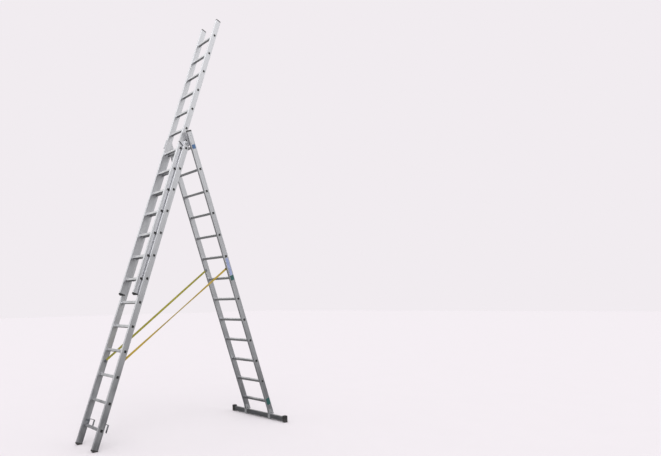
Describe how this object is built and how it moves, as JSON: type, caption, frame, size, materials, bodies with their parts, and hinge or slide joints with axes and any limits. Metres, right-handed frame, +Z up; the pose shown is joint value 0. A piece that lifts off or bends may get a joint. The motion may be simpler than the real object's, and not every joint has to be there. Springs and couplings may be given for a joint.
{
  "type": "combination ladder",
  "caption": "Free-standing folding ladder of hinged legs with spreader straps, a sliding top section and a floor stabiliser bar.",
  "frame": {"origin": "on the floor at the middle of the open ladder's footprint", "axes": "+Z up, +X from the front leg to the rear leg, Y along the rungs"},
  "size_m": [2.537, 1.01, 5.1961],
  "materials": {
    "aluminium": "extruded, mill finish",
    "rung_aluminium": "extruded, ribbed treads",
    "black_plastic": "moulded, fine texture",
    "rubber": "moulded",
    "zinc_steel": "pressed and zinc plated",
    "fastener_steel": "zinc plated",
    "bar_paint": "powder coated",
    "webbing": "woven webbing",
    "label_blue": "printed film",
    "label_teal": "printed film",
    "label_pale": "printed film"
  },
  "bodies": {
    "front_ladder": {"front_feet": "rubber", "front_hook_rivets": "fastener_steel", "front_hooks": "zinc_steel", "front_rung_plugs": "black_plastic", "front_rungs": "rung_aluminium", "front_stile_left": "aluminium", "front_stile_right": "aluminium", "front_strap_bolts": "fastener_steel", "front_strap_plates": "zinc_steel", "front_top_caps": "black_plastic", "head_brackets": "zinc_steel", "head_rivets": "fastener_steel", "hinge_bushes": "fastener_steel", "strap_left": "webbing", "strap_right": "webbing"},
    "top_ladder": {"top_hook_rivets": "fastener_steel", "top_hooks": "zinc_steel", "top_lower_caps": "black_plastic", "top_rung_plugs": "black_plastic", "top_rungs": "rung_aluminium", "top_stile_left": "aluminium", "top_stile_right": "aluminium", "top_upper_caps": "black_plastic"},
    "rear_ladder": {"carrier_bolts": "fastener_steel", "hinge_bolts": "fastener_steel", "hinge_nuts": "fastener_steel", "hinge_plates": "zinc_steel", "hinge_rivets": "fastener_steel", "hinge_washers": "fastener_steel", "label_foot": "label_teal", "label_long": "label_pale", "label_middle": "label_teal", "label_top": "label_blue", "rear_rung_plugs": "black_plastic", "rear_rungs": "rung_aluminium", "rear_stile_left": "aluminium", "rear_stile_right": "aluminium", "rear_strap_bolts": "fastener_steel", "rear_strap_plates": "zinc_steel", "rear_top_caps": "black_plastic", "stabiliser_bar": "bar_paint", "stabiliser_carriers": "zinc_steel", "stabiliser_shoes": "rubber"}
  },
  "joints": [
    {"name": "extension_slide", "type": "slide", "parent": "front_ladder", "child": "top_ladder", "axis": [0.333, 0, 0.9429], "range_m": [-1.68, 0.84]},
    {"name": "fold", "type": "hinge", "parent": "front_ladder", "child": "rear_ladder", "pos_m": [-0.02405, 0, 3.43133], "axis": [0, 1, 0], "range_deg": [0, 38.1], "deforming": ["strap_left", "strap_right"]}
  ]
}
